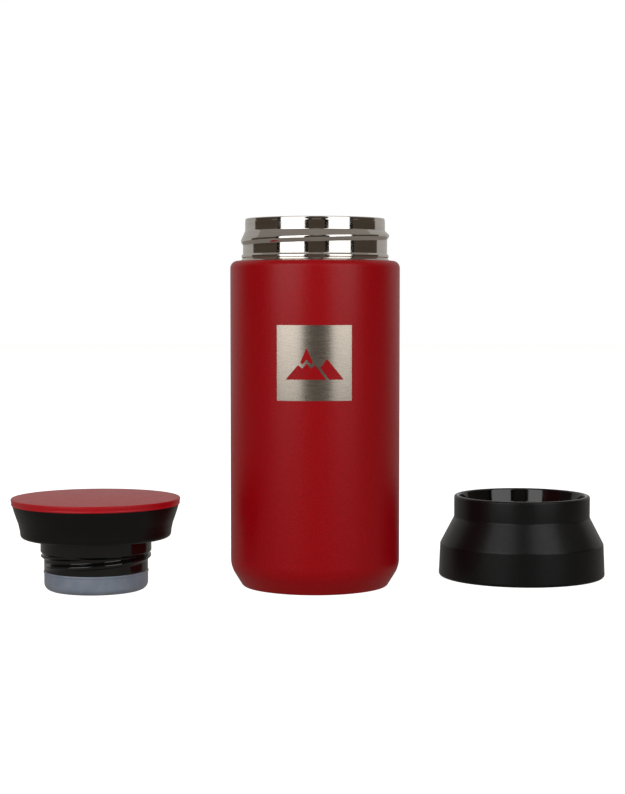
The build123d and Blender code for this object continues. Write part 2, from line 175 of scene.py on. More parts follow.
# Rolled thread on the neck: one start, right-hand, with a long upper flank that always ends
# under the rim band
NECK_THREAD_LEAD = 5.0
NECK_THREAD_TURN = math.radians(330)
NECK_THREAD_START = math.radians(-255)
NECK_THREAD_HEIGHT = 147.4
NECK_THREAD_CREST = 31.85
NECK_THREAD_TAPER = math.radians(30)
NECK_THREAD_ZONE = (144.4, 157.0, 29.8, 33)
NECK_FLANK_TOP = 153.0
NECK_LOWER_SLOPE = 0.63
NECK_CREST_HALF = 0.3
NECK_CREST_ROUNDING = 0.10

# The other threads: angles in degrees, and half widths of the ridge at its root and crest.
# A zone is the (lowest, highest, inner, outer) part of a wall that a thread may shape.
# Thread on the lid's plug: two starts, right-hand
PLUG_THREAD = {
    "starts": 2, "lead": 8.6, "turn": 260, "start_angle": -165, "start_height": 10.5,
    "root_half": 1.7, "crest_half": 0.2, "root": PLUG_ROOT_RADIUS, "crest": 23.45,
    "taper": 30, "zone": (8.6, 17.5, 21.9, 24),
}
# Thread inside the collar's throat
THROAT_THREAD = {
    "starts": 2, "lead": PLUG_THREAD["lead"], "turn": 220, "start_angle": -190, "start_height": 21.2,
    "root_half": 0.95, "crest_half": 0.35, "root": THROAT_ROOT_RADIUS, "crest": 22.6,
    "taper": 16, "zone": (19.6, 29.0, 22.2, 24),
}
# Thread inside the collar's socket
SOCKET_THREAD = {
    "starts": 1, "lead": NECK_THREAD_LEAD, "turn": 330, "start_angle": -255, "start_height": 4.6,
    "root_half": 1.1, "crest_half": 0.4, "root": SOCKET_RADIUS, "crest": 31.2,
    "taper": 20, "zone": (1.0, 14.0, 31.5, 33),
}


# Outlines -----------------------------------------------------------------------------------

def rounded(outline):
    """Points round a closed outline, with an arc of the stated rounding at each corner."""
    points = []
    for index, (radius, height, rounding) in enumerate(outline):
        corner = Vector((radius, height))
        if rounding == 0:
            points.append(corner)
            continue
        before = Vector(outline[index - 1][:2]) - corner
        after = Vector(outline[(index + 1) % len(outline)][:2]) - corner
        half_turn = before.angle(after) / 2
        middle = (before.normalized() + after.normalized()).normalized()
        centre = corner + middle * rounding / math.sin(half_turn)
        first = corner + before.normalized() * rounding / math.tan(half_turn) - centre
        last = corner + after.normalized() * rounding / math.tan(half_turn) - centre
        sweep = first.angle_signed(last)
        for step in range(ROUNDING_STEPS + 1):
            turn = -sweep * step / ROUNDING_STEPS
            spoke = Vector((
                first.x * math.cos(turn) - first.y * math.sin(turn),
                first.x * math.sin(turn) + first.y * math.cos(turn),
            ))
            points.append(centre + spoke)
    return points


def divided(points, low, high):
    """The same closed outline with its runs cut finely between two heights."""
    result = []
    for index, point in enumerate(points):
        following = points[(index + 1) % len(points)]
        result.append(point)
        inside = max(point.y, following.y) > low and min(point.y, following.y) < high
        pieces = math.ceil((following - point).length / THREAD_SPACING) if inside else 1
        for piece in range(1, pieces):
            result.append(point.lerp(following, piece / pieces))
    return result


def smooth(value):
    """Ease a value from 0 to 1 in and out."""
    value = min(1.0, max(0.0, value))
    return value * value * (3 - 2 * value)


def thread_radius(thread, angle, height, plain):
    """Radius of a wall with this thread, whose plain radius at this height is given."""
    rise = 0.0
    turn = math.radians(thread["turn"])
    taper = math.radians(thread["taper"])
    for start in range(thread["starts"]):
        first = math.radians(thread["start_angle"]) + start * TURN / thread["starts"]
        along = (angle - first) % TURN
        while along <= turn:
            centre = thread["start_height"] + thread["lead"] * along / TURN
            away = abs(height - centre)
            flank = (thread["root_half"] - away) / (thread["root_half"] - thread["crest_half"])
            ends = min(along / taper, (turn - along) / taper)
            rise = max(rise, smooth(flank) * smooth(ends))
            along += TURN
    ridge = thread["root"] + (thread["crest"] - thread["root"]) * rise
    outwards = thread["crest"] > thread["root"]
    return max(plain, ridge) if outwards else min(plain, ridge)


def thread_surface(thread):
    """The radius function of one of the threads above."""
    return lambda angle, height, plain: thread_radius(thread, angle, height, plain)


def neck_radius(angle, height, plain):
    """Radius of the rolled neck, whose plain radius at this height is given."""
    along = (angle - NECK_THREAD_START) % TURN
    if along > NECK_THREAD_TURN:
        return plain
    crest = NECK_THREAD_HEIGHT + NECK_THREAD_LEAD * along / TURN
    depth = NECK_THREAD_CREST - RIM_RADIUS
    beyond = max(0.0, abs(height - crest) - NECK_CREST_HALF)
    if height > crest:
        fall = depth * min(1.0, beyond / (NECK_FLANK_TOP - crest - NECK_CREST_HALF))
        floor = RIM_RADIUS
    else:
        fall = NECK_LOWER_SLOPE * beyond
        floor = NECK_ROOT_RADIUS
    fall = math.hypot(fall, NECK_CREST_ROUNDING) - NECK_CREST_ROUNDING
    ridge = max(floor, NECK_THREAD_CREST - fall)
    weight = smooth(min(along, NECK_THREAD_TURN - along) / NECK_THREAD_TAPER)
    return plain + (ridge - plain) * weight


# Mesh building ------------------------------------------------------------------------------

def make_object(name, body, vertices, faces, materials, material_of=None):
    """Turn millimetre vertices and faces into a smooth-shaded piece that rides on a body."""
    mesh = bpy.data.meshes.new(name)
    mesh.from_pydata([Vector(vertex) * MM for vertex in vertices], [], faces)
    work = bmesh.new()
    work.from_mesh(mesh)
    bmesh.ops.remove_doubles(work, verts=work.verts, dist=WELD_DISTANCE)
    bmesh.ops.dissolve_degenerate(work, edges=work.edges, dist=SHORTEST_EDGE)
    bmesh.ops.recalc_face_normals(work, faces=work.faces)
    work.to_mesh(mesh)
    work.free()
    for material in materials:
        mesh.materials.append(material)
    for face in mesh.polygons:
        face.use_smooth = True
        if material_of:
            face.material_index = material_of(face.center / MM)
    mesh.set_sharp_from_angle(angle=SHARP_ANGLE)
    piece = bpy.data.objects.new(name, mesh)
    bpy.context.scene.collection.objects.link(piece)
    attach(piece, body)
    return piece


def spin(points, place, angles, radius_at=None):
    """Vertices and faces of a closed outline turned about a piece's axis."""
    vertices = []
    for angle in angles:
        for point in points:
            radius = radius_at(angle, point.x, point.y) if radius_at else point.x
            x = place[0] + radius * math.cos(angle)
            y = place[1] + radius * math.sin(angle)
            vertices.append((x, y, point.y))
    count = len(points)
    faces = []
    for column in range(len(angles)):
        here = column * count
        there = (column + 1) % len(angles) * count
        for row in range(count):
            above = (row + 1) % count
            if points[row].x == 0 and points[above].x == 0:
                continue
            faces.append((here + row, there + row, there + above, here + above))
    return vertices, faces


def even_angles(count):
    """Angles evenly round one turn."""
    return [TURN * step / count for step in range(count)]


def lathe(name, body, outline, place, materials, material_of=None):
    """A plain turned piece."""
    vertices, faces = spin(rounded(outline), place, even_angles(SEGMENTS))
    return make_object(name, body, vertices, faces, materials, material_of)


def threaded(name, body, outline, place, surface, zone, materials, material_of=None):
    """A turned piece whose wall carries a thread between two heights and two radii."""
    low, high, inner, outer = zone

    def radius_at(angle, radius, height):
        if low <= height <= high and inner <= radius <= outer:
            return surface(angle, height, radius)
        return radius

    points = divided(rounded(outline), low, high)
    vertices, faces = spin(points, place, even_angles(THREAD_SEGMENTS), radius_at)
    return make_object(name, body, vertices, faces, materials, material_of)


# Materials ----------------------------------------------------------------------------------

def new_material(name, colour, roughness, **sockets):
    """A Principled material with uniform values set on its own sockets."""
    material = bpy.data.materials.new(name)
    material.use_nodes = True
    shader = material.node_tree.nodes["Principled BSDF"]
    shader.inputs["Base Color"].default_value = (*colour, 1)
    shader.inputs["Roughness"].default_value = roughness
    for socket, value in sockets.items():
        shader.inputs[socket.replace("_", " ")].default_value = value
    return material


def noise(material, scale, stretch=(1, 1, 1), detail=2.0):
    """A noise texture in object space, in cycles per metre, squeezed along each axis."""
    nodes = material.node_tree.nodes
    links = material.node_tree.links
    place = nodes.new("ShaderNodeTexCoord")
    mapping = nodes.new("ShaderNodeMapping")
    mapping.inputs["Scale"].default_value = stretch
    texture = nodes.new("ShaderNodeTexNoise")
    texture.inputs["Scale"].default_value = scale
    texture.inputs["Detail"].default_value = detail
    links.new(place.outputs["Object"], mapping.inputs["Vector"])
    links.new(mapping.outputs["Vector"], texture.inputs["Vector"])
    return texture.outputs["Fac"]


def spread(material, factor, low, high, socket):
    """Map a noise factor to a range of values on one of the shader's sockets."""
    nodes = material.node_tree.nodes
    links = material.node_tree.links
    ranged = nodes.new("ShaderNodeMapRange")
    ranged.inputs["From Min"].default_value = NOISE_LOW
    ranged.inputs["From Max"].default_value = NOISE_HIGH
    ranged.inputs["To Min"].default_value = low
    ranged.inputs["To Max"].default_value = high
    links.new(factor, ranged.inputs["Value"])
    links.new(ranged.outputs["Result"], nodes["Principled BSDF"].inputs[socket])


def tint(material, factor, dark, light):
    """Vary the base colour between two colours with a noise factor."""
    nodes = material.node_tree.nodes
    links = material.node_tree.links
    ramp = nodes.new("ShaderNodeValToRGB")
    ramp.color_ramp.elements[0].position = NOISE_LOW
    ramp.color_ramp.elements[1].position = NOISE_HIGH
    ramp.color_ramp.elements[0].color = (*dark, 1)
    ramp.color_ramp.elements[1].color = (*light, 1)
    links.new(factor, ramp.inputs["Fac"])
    links.new(ramp.outputs["Color"], nodes["Principled BSDF"].inputs["Base Color"])


def bump(material, factor, depth):
    """Raise the surface by a noise factor, depth in millimetres."""
    nodes = material.node_tree.nodes
    links = material.node_tree.links
    relief = nodes.new("ShaderNodeBump")
    relief.inputs["Distance"].default_value = depth * MM
    links.new(factor, relief.inputs["Height"])
    links.new(relief.outputs["Normal"], nodes["Principled BSDF"].inputs["Normal"])


def powder_coat_material():
    """Red satin powder coat with a fine orange-peel grain."""
    material = new_material("red_powder_coat", (0.46, 0.002, 0.009), 0.34, Specular_IOR_Level=0.24)
    grain = noise(material, 1400, detail=3)
    tint(material, grain, (0.36, 0.0004, 0.0035), (0.465, 0.0008, 0.0055))
    spread(material, noise(material, 700), 0.31, 0.38, "Roughness")
    bump(material, grain, 0.035)
    return material


def red_disc_material():
    """Red satin paint on the lid's disc, a little brighter than the coat."""
    material = new_material("red_disc_paint", (0.52, 0.003, 0.010), 0.38, Specular_IOR_Level=0.42)
    grain = noise(material, 2200, detail=3)
    tint(material, grain, (0.50, 0.002, 0.009), (0.62, 0.004, 0.013))
    spread(material, noise(material, 500), 0.35, 0.42, "Roughness")
    bump(material, grain, 0.012)
    return material


def polished_steel_material():
    """Mirror-polished steel with faint rings left by the polishing wheel."""
    material = new_material("polished_steel", (0.62, 0.59, 0.55), 0.07, Metallic=1.0)
    rings = noise(material, 900, stretch=(0.03, 0.03, 1.0), detail=3)
    tint(material, rings, (0.58, 0.555, 0.515), (0.66, 0.63, 0.59))
    spread(material, noise(material, 240), 0.05, 0.11, "Roughness")
    bump(material, rings, 0.0015)
    return material


def brushed_steel_material():
    """Bare steel brushed round the body, so that its grain runs level."""
    material = new_material("brushed_steel", (0.60, 0.55, 0.48), 0.3, Metallic=1.0)
    strokes = noise(material, 4200, stretch=(0.05, 0.05, 1.0), detail=3)
    tint(material, strokes, (0.335, 0.295, 0.25), (0.43, 0.38, 0.325))
    spread(material, strokes, 0.25, 0.29, "Roughness")
    bump(material, strokes, 0.0007)
    return material


def satin_steel_material():
    """Drawn steel inside the bottle, with faint vertical streaks."""
    material = new_material("satin_steel", (0.58, 0.57, 0.55), 0.28, Metallic=1.0)
    streaks = noise(material, 1200, stretch=(1.0, 1.0, 0.03), detail=3)
    tint(material, streaks, (0.52, 0.51, 0.49), (0.64, 0.63, 0.61))
    spread(material, streaks, 0.22, 0.34, "Roughness")
    bump(material, streaks, 0.003)
    return material


def black_satin_material():
    """Black moulded plastic with a fine spark-eroded grain."""
    material = new_material("black_satin_plastic", (0.005, 0.005, 0.005), 0.46, Specular_IOR_Level=0.25)
    grain = noise(material, 2600, detail=3)
    tint(material, grain, (0.0035, 0.0035, 0.0037), (0.0065, 0.0065, 0.0067))
    spread(material, noise(material, 600), 0.29, 0.36, "Roughness")
    bump(material, grain, 0.008)
    return material


def black_gloss_material():
    """Polished black plastic with slight flow waves."""
    material = new_material("black_gloss_plastic", (0.005, 0.005, 0.005), 0.08, Specular_IOR_Level=0.55)
    waves = noise(material, 90, detail=1)
    tint(material, waves, (0.003, 0.003, 0.0033), (0.006, 0.006, 0.0063))
    spread(material, noise(material, 400), 0.05, 0.10, "Roughness")
    bump(material, waves, 0.01)
    return material


def silicone_material():
    """Frosted blue-grey silicone that lets a little light through."""
    material = new_material(
        "silicone", (0.21, 0.25, 0.31), 0.42, Subsurface_Weight=0.35, Subsurface_Scale=0.002
    )
    haze = noise(material, 160, detail=3)
    tint(material, haze, (0.23, 0.275, 0.355), (0.31, 0.35, 0.42))
    spread(material, haze, 0.36, 0.48, "Roughness")
    bump(material, noise(material, 1800), 0.004)
    return material


def foam_material():
    """Pale closed-cell foam."""
    material = new_material("foam", (0.78, 0.77, 0.72), 0.85)
    cells = noise(material, 900, detail=2)
    tint(material, cells, (0.66, 0.65, 0.60), (0.84, 0.83, 0.79))
    bump(material, cells, 0.15)
    return material


def foil_material():
    """Bright, slightly crinkled metal foil."""
    material = new_material("foil", (0.85, 0.85, 0.86), 0.18, Metallic=1.0)
    creases = noise(material, 130, detail=4)
    tint(material, creases, (0.75, 0.75, 0.76), (0.90, 0.90, 0.91))
    bump(material, creases, 0.12)
    return material


def dull_metal_material():
    """Dull grey sintered metal, for the getter and the solder."""
    material = new_material("dull_metal", (0.25, 0.25, 0.26), 0.6, Metallic=1.0)
    grain = noise(material, 1500, detail=3)
    tint(material, grain, (0.16, 0.16, 0.17), (0.34, 0.34, 0.35))
    bump(material, grain, 0.02)
    return material


# Steel body ---------------------------------------------------------------------------------

def outer_shell(polished, brushed):
    """Steel vessel with the polished neck and the brushed wall behind the window."""
    outline = [
        (BASE_RING_INNER, 0, 0),
        (BASE_RING_OUTER, 0, BASE_RING_ROUNDING),
        (STEEL_RADIUS, CHAMFER_HEIGHT, CHAMFER_ROUNDING),
        (STEEL_RADIUS, STEEL_SHOULDER, SHOULDER_ROUNDING),
        (COAT_NECK_RADIUS - 0.1, STEEL_SHOULDER, 0.25),
        (NECK_FLARE_RADIUS, 140.9, 0.4),
        (NECK_FLARE_RADIUS, 141.3, 0.15),
        (NECK_BEAD_RADIUS, 141.6, 0.2),
        (NECK_BEAD_RADIUS, 142.4, 0.3),
        (NECK_ROOT_RADIUS, 143.1, 0.3),
        (NECK_ROOT_RADIUS, 147.2, 1.0),
        (NECK_STEP_RADIUS, 149.4, 1.0),
        (RIM_RADIUS, BODY_HEIGHT, RIM_ROUNDING),
        (RIM_SEAM_RADIUS, BODY_HEIGHT, 0),
        (RIM_SEAM_RADIUS, STEEL_SHOULDER - SHELL_WALL, 0),
        (SHELL_INSIDE, STEEL_SHOULDER - SHELL_WALL, SHOULDER_ROUNDING - SHELL_WALL),
        (SHELL_INSIDE, CHAMFER_HEIGHT + CHAMFER_INSET, CHAMFER_ROUNDING - SHELL_WALL),
        (BASE_RING_OUTER - CHAMFER_INSET, BASE_RING_THICKNESS, 0),
        (BASE_RING_INNER, BASE_RING_THICKNESS, 0),
    ]
    polished_from = STEEL_SHOULDER - 1
    piece = threaded(
        "steel_shell", "bottle", outline, BODY_PLACE, neck_radius, NECK_THREAD_ZONE,
        [polished, brushed], lambda centre: 0 if centre.z > polished_from else 1,
    )
    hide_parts("outer_shell")


def window_angles():
    """Angles of the window's two sides and of the columns between them."""
    front = -TURN / 4
    left = front + math.asin(WINDOW_LEFT / BODY_RADIUS)
    right = front + math.asin(WINDOW_RIGHT / BODY_RADIUS)
    width = right - left
    return [left + width * step / WINDOW_COLUMNS for step in range(WINDOW_COLUMNS + 1)]


def coat_outline():
    """The coat's outer face going up and its inner face coming down."""
    return [
        (31.22, 0.2, 0),
        (31.52, 0.42, 0),
        (31.87, 0.87, 0),
        (BODY_RADIUS, CHAMFER_HEIGHT, CHAMFER_ROUNDING),
        (BODY_RADIUS, WINDOW_BOTTOM, 0),
        (BODY_RADIUS, WINDOW_TOP, 0),
        (BODY_RADIUS, SHOULDER_HEIGHT, SHOULDER_ROUNDING + COAT),
        (COAT_NECK_RADIUS, SHOULDER_HEIGHT, 0.06),
        (COAT_NECK_RADIUS, STEEL_SHOULDER, 0),
        (STEEL_RADIUS, STEEL_SHOULDER, SHOULDER_ROUNDING),
        (STEEL_RADIUS, WINDOW_TOP, 0),
        (STEEL_RADIUS, WINDOW_BOTTOM, 0),
        (STEEL_RADIUS, CHAMFER_HEIGHT, CHAMFER_ROUNDING),
        (31.70, 0.92, 0),
        (31.33, 0.48, 0),
        (30.91, 0.2, 0),
    ]


def windowed_coat():
    """The coat with its window: faces there are left out and the edge is walled."""
    window = window_angles()
    rest = TURN - (window[-1] - window[0])
    others = [window[-1] + rest * step / COAT_COLUMNS for step in range(1, COAT_COLUMNS)]
    points = rounded(coat_outline())
    vertices, faces = spin(points, BODY_PLACE, window + others)
    count = len(points)

    def row_of(radius, height):
        target = Vector((radius, height))
        return min(range(count), key=lambda row: (points[row] - target).length)

    outer_low = row_of(BODY_RADIUS, WINDOW_BOTTOM)
    outer_high = row_of(BODY_RADIUS, WINDOW_TOP)
    inner_high = row_of(STEEL_RADIUS, WINDOW_TOP)
    inner_low = row_of(STEEL_RADIUS, WINDOW_BOTTOM)
    last = len(window) - 1
    open_rows = (outer_low, inner_high)
    kept = [
        face for face in faces
        if not (face[0] // count < last and face[0] % count in open_rows)
    ]
    for column in range(last):
        here = column * count
        there = here + count
        kept.append((here + outer_low, there + outer_low, there + inner_low, here + inner_low))
        kept.append((here + inner_high, there + inner_high, there + outer_high, here + outer_high))
    for column in (0, last):
        here = column * count
        kept.append((here + outer_low, here + outer_high, here + inner_high, here + inner_low))
    return vertices, kept


def between(knots, across):
    """Height of a straight-sided line through (across, height) knots."""
    for (left, low), (right, high) in zip(knots, knots[1:]):
        if left <= across <= right:
            return low + (high - low) * (across - left) / (right - left)
    return knots[-1][1]


def raised_patch(lower, upper, vertices, faces):
    """A patch of coat on the front, between a lower and an upper line, with walled edges."""
    knots = sorted({across for across, height in lower + upper})
    stations = []
    for left, right in zip(knots, knots[1:]):
        pieces = max(1, math.ceil((right - left) / MARK_SPACING))
        stations += [left + (right - left) * step / pieces for step in range(pieces)]
    stations.append(knots[-1])
    first = len(vertices)
    for across in stations:
        angle = across / BODY_RADIUS - TURN / 4
        low = between(lower, across)
        high = max(low, between(upper, across))
        corners = (
            (BODY_RADIUS, low), (BODY_RADIUS, high), (STEEL_RADIUS, high), (STEEL_RADIUS, low)
        )
        for radius, height in corners:
            vertices.append((radius * math.cos(angle), radius * math.sin(angle), height))
    for column in range(len(stations) - 1):
        here = first + column * 4
        for row in range(4):
            above = (row + 1) % 4
            faces.append((here + row, here + 4 + row, here + 4 + above, here + above))
    faces.append((first, first + 1, first + 2, first + 3))
    end = first + (len(stations) - 1) * 4
    faces.append((end, end + 1, end + 2, end + 3))


def mountain_mark(vertices, faces):
    """A generic mark: a snow-capped peak and a lower peak beside it."""
    base = MARK_BASE
    raised_patch(
        [(-12.5, base), (4.6, base)],
        [(-12.5, base), (-7.15, base + 6.0), (-5.4, base + 4.6), (-3.6, base + 6.6),
         (-1.7, base + 4.6), (0.0, base + 6.0), (4.6, base)],
        vertices, faces,
    )
    raised_patch(
        [(-6.2, base + 7.1), (-5.4, base + 6.3), (-3.6, base + 8.3), (-1.7, base + 6.3),
         (-0.95, base + 7.1)],
        [(-6.2, base + 7.1), (-3.6, base + 13.1), (-0.95, base + 7.1)],
        vertices, faces,
    )
    raised_patch(
        [(2.2, base + 4.9), (5.9, base), (12.0, base)],
        [(2.2, base + 4.9), (4.9, base + 8.6), (12.0, base)],
        vertices, faces,
    )


def powder_coat(material):
    """Red coat with its window and the mark that stands in it."""
    vertices, faces = windowed_coat()
    mountain_mark(vertices, faces)
    piece = make_object("red_coat", "bottle", vertices, faces, [material])
    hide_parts("powder_coat")


def inner_liner(material):
    """Inner vessel, seen through the mouth."""
    inside = LINER_RADIUS - LINER_WALL
    ceiling = LINER_TOP - LINER_WALL
    floor = LINER_BOTTOM + LINER_WALL
    outline = [
        (0, LINER_BOTTOM, 0),
        (LINER_RADIUS, LINER_BOTTOM, LINER_CORNER),
        (LINER_RADIUS, LINER_TOP, LINER_SHOULDER_CORNER),
        (LINER_NECK_RADIUS, LINER_TOP, 0),
        (LINER_NECK_RADIUS, WELD_HEIGHT - WELD_SLOPE, 0),
        (RIM_SEAM_RADIUS, WELD_HEIGHT, 0),
        (RIM_SEAM_RADIUS, BODY_HEIGHT, 0),
        (MOUTH_RADIUS, BODY_HEIGHT, RIM_ROUNDING),
        (MOUTH_RADIUS, ceiling, 0.4),
        (inside, ceiling, LINER_SHOULDER_CORNER - LINER_WALL),
        (inside, floor, LINER_CORNER - LINER_WALL),
        (0, floor, 0),
    ]
    piece = lathe("inner_vessel", "bottle", outline, BODY_PLACE, [material])
    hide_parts("inner_liner")


def base_pieces(material):
    """Pressed base disc and the dished cover in the base recess."""
    disc_outline = [
        (EVACUATION_HOLE, BASE_DISC_BOTTOM, 0),
        (BASE_RIM_RADIUS, BASE_DISC_BOTTOM, 0.3),
        (BASE_RIM_RADIUS, COVER_BOTTOM, 0),
        (BASE_RING_INNER, COVER_BOTTOM, 0),
        (BASE_RING_INNER, BASE_DISC_TOP, 0),
        (EVACUATION_HOLE, BASE_DISC_TOP, 0),
    ]
    disc = lathe("base_disc", "bottle", disc_outline, BODY_PLACE, [material])
    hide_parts("outer_base")
    dish_edge = COVER_DISH_RADIUS - COVER_DISH_SLOPE
    cover_outline = [
        (0, COVER_BOTTOM + COVER_DISH_DEPTH, 0),
        (dish_edge, COVER_BOTTOM + COVER_DISH_DEPTH, 1.2),
        (COVER_DISH_RADIUS, COVER_BOTTOM, 0.8),
        (COVER_RADIUS, COVER_BOTTOM, 0.2),
        (COVER_RADIUS, COVER_TOP, 0),
        (COVER_DISH_RADIUS, COVER_TOP, 0.8),
        (dish_edge, COVER_TOP + COVER_DISH_DEPTH, 1.2),
        (0, COVER_TOP + COVER_DISH_DEPTH, 0),
    ]
    cover = lathe("base_cap", "bottle", cover_outline, BODY_PLACE, [material])
    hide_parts("base_cover")


# Lid ----------------------------------------------------------------------------------------

def lid_disc(material):
    """Red disc with a soft bevel round its top and a fine lip at its lower edge."""
    outline = [
        (0, LID_HEIGHT, 0),
        (DISC_RADIUS - 0.3, LID_HEIGHT, 0.4),
        (DISC_RADIUS, LID_HEIGHT - 0.45, 0.3),
        (DISC_LOWER_RADIUS, DISC_BOTTOM + 0.7, 0.2),
        (DISC_LOWER_RADIUS + 0.15, DISC_BOTTOM + 0.45, 0.1),
        (DISC_LOWER_RADIUS, DISC_BOTTOM, 0.15),
        (DISC_SPIGOT_RADIUS, DISC_BOTTOM, 0),
        (DISC_SPIGOT_RADIUS, DISC_UNDERSIDE, 0),
        (0, DISC_UNDERSIDE, 0),
    ]
    piece = lathe("lid_disc", "lid", outline, LID_PLACE, [material])
    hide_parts("lid_top_disc")


def lid_grip(material):
    """Black flared skirt with a concave side and a rounded lower edge."""
    outline = [
        (PLUG_ROOT_RADIUS, SKIRT_BOTTOM, 0),
        (SKIRT_RADIUS, SKIRT_BOTTOM, 1.8),
        *[(radius, height, SKIRT_FLARE_ROUNDING) for radius, height in SKIRT_FLARE],
        (35.45, DISC_BOTTOM, 0.15),
        (DISC_SPIGOT_RADIUS, DISC_BOTTOM, 0),
        (DISC_SPIGOT_RADIUS, DISC_UNDERSIDE, 0),
        (31.6, DISC_UNDERSIDE, 0),
        (29.7, SKIRT_FLOOR, 0.8),
        (PLUG_ROOT_RADIUS, SKIRT_FLOOR, 0),
    ]
    piece = lathe("lid_grip", "lid", outline, LID_PLACE, [material])
    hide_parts("lid_skirt")


def lid_plug(material):
    """Glossy plug with its two-start thread running up into the wide neck."""
    shoulder = BOOT_HEIGHT + FIT_GAP
    inside = SPIGOT_RADIUS - PLUG_WALL
    floor = SPIGOT_BOTTOM + PLUG_WALL
    outline = [
        (0, SPIGOT_BOTTOM, 0),
        (SPIGOT_RADIUS, SPIGOT_BOTTOM, 0.5),
        (SPIGOT_RADIUS, shoulder, 0),
        (PLUG_ROOT_RADIUS, shoulder, 0.4),
        (PLUG_ROOT_RADIUS, 15.4, 0.4),
        (PLUG_NECK_RADIUS, 16.5, 0.4),
        (PLUG_NECK_RADIUS, SKIRT_BOTTOM, 0),
        (PLUG_ROOT_RADIUS, SKIRT_BOTTOM, 0),
        (PLUG_ROOT_RADIUS, SKIRT_FLOOR, 0),
        (PLUG_FLANGE_RADIUS, SKIRT_FLOOR, 0),
        (PLUG_FLANGE_RADIUS, SKIRT_FLOOR + PLUG_WALL, 0),
        (inside, SKIRT_FLOOR + PLUG_WALL, 0),
        (inside, floor, 0.5),
        (0, floor, 0),
    ]
    piece = threaded(
        "lid_plug_threaded", "lid", outline, LID_PLACE,
        thread_surface(PLUG_THREAD), PLUG_THREAD["zone"], [material],
    )
    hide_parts("lid_plug")


def lid_boot(material):
    """Silicone boot on the plug's end, with a rounded lower corner and a fine top lip."""
    outline = [
        (0, 0, 0),
        (PLUG_ROOT_RADIUS, 0, 3.0),
        (PLUG_ROOT_RADIUS, BOOT_HEIGHT - 1.0, 0.3),
        (BOOT_LIP_RADIUS, BOOT_HEIGHT - 0.7, 0.2),
        (BOOT_LIP_RADIUS, BOOT_HEIGHT, 0.3),
        (SPIGOT_RADIUS + FIT_GAP, BOOT_HEIGHT, 0),
        (SPIGOT_RADIUS + FIT_GAP, BOOT_FLOOR, 0),
        (0, BOOT_FLOOR, 0),
    ]
    piece = lathe("silicone_boot", "lid_boot", outline, LID_PLACE, [material])
    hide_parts("lid_seal")


# Drinking collar ----------------------------------------------------------------------------

def collar_outside(material):
    """Satin rim, cone and skirt, with the threaded socket underneath."""
    outline = [
        (COLLAR_SEAM_RADIUS, COLLAR_HEIGHT, 0),
        (COLLAR_RIM_RADIUS, COLLAR_HEIGHT, 1.0),
        (COLLAR_RIM_RADIUS, COLLAR_KINK_HEIGHT, 1.5),
        (COLLAR_CREASE_RADIUS, COLLAR_CREASE_HEIGHT, 2.0),
        (COLLAR_SKIRT_RADIUS, 0, 1.3),
        (SOCKET_RADIUS, 0, 0.5),
        (SOCKET_RADIUS, SOCKET_TOP, 0.3),
        (SEAT_RADIUS, SOCKET_TOP + 0.8, 0.3),
        (SEAT_RADIUS, SEAT_TOP, 0),
        (COLLAR_SEAM_RADIUS, SEAT_TOP + 2.4, 0),
    ]
    piece = threaded(
        "collar_outside", "collar", outline, COLLAR_PLACE,
        thread_surface(SOCKET_THREAD), SOCKET_THREAD["zone"], [material],
    )
    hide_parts("collar_shell")


def collar_inside(material):
    """Glossy cup, threaded throat, seal bore and gasket seat."""
    outline = [
        (CUP_RADIUS, COLLAR_HEIGHT, 0.9),
        (CUP_FLOOR_RADIUS, CUP_FLOOR_TOP, 1.2),
        (THROAT_ROOT_RADIUS, CUP_FLOOR_TOP, 0.5),
        (THROAT_ROOT_RADIUS, SEAL_BORE_TOP + 1.0, 0.4),
        (SEAL_BORE_RADIUS, SEAL_BORE_TOP, 0.4),
        (SEAL_BORE_RADIUS, THROAT_BOTTOM, 0.5),
        (THROAT_OUTER_RADIUS, THROAT_BOTTOM, 0.5),
        (THROAT_OUTER_RADIUS, SEAT_BOTTOM, 0),
        (SEAT_RADIUS, SEAT_BOTTOM, 0),
        (SEAT_RADIUS, SEAT_TOP, 0),
        (THROAT_OUTER_RADIUS, SEAT_TOP, 0),
        (THROAT_OUTER_RADIUS, CUP_FLOOR_BOTTOM, 0),
        (COLLAR_SEAM_RADIUS, CUP_FLOOR_BOTTOM, 0),
        (COLLAR_SEAM_RADIUS, COLLAR_HEIGHT, 0),
    ]
    piece = threaded(
        "collar_inside", "collar", outline, COLLAR_PLACE,
        thread_surface(THROAT_THREAD), THROAT_THREAD["zone"], [material],
    )
    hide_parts("collar_liner")


def collar_ring(material):
    """Flat silicone ring on the gasket seat."""
    top = SEAT_BOTTOM - FIT_GAP
    bottom = top - RING_THICKNESS
    outline = [
        (RING_INNER, bottom, 0.5),
        (RING_OUTER, bottom, 0.5),
        (RING_OUTER, top, 0.3),
        (RING_INNER, top, 0.3),
    ]
    piece = lathe("collar_ring", "gasket", outline, COLLAR_PLACE, [material])
    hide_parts("collar_gasket")


# Studio -------------------------------------------------------------------------------------
# Here lengths are in metres, and azimuths are in degrees from the front, positive to the right.

SOFTBOX_DISTANCE = 0.95
SOFTBOX_HEIGHT = 0.51
SOFTBOX_TALL = 0.92
SOFTBOX_BORDER = 0.14
SOFTBOX_FRAME_GAP = 0.01
SOFTBOX_AIM = Vector((0, 0, 0.1))
FLOOR_PAINT = 0.8
BOARD_PAINT = 0.15
BLACK = (0, 0, 0)
WARM = (1.0, 0.92, 0.84)
CREAM = (1, 0.97, 0.93)
ROOM_LIGHT = (0.020, 0.017, 0.014, 1)
ROOM_REFLECTION = (0.075, 0.058, 0.044, 1)
ROOM_SEEN = (1, 1, 1, 1)
CAMERA_LENS = 82.2
CAMERA_PLACE = (-0.0011, -0.7828, 0.1247)
CAMERA_PITCH = 3.16


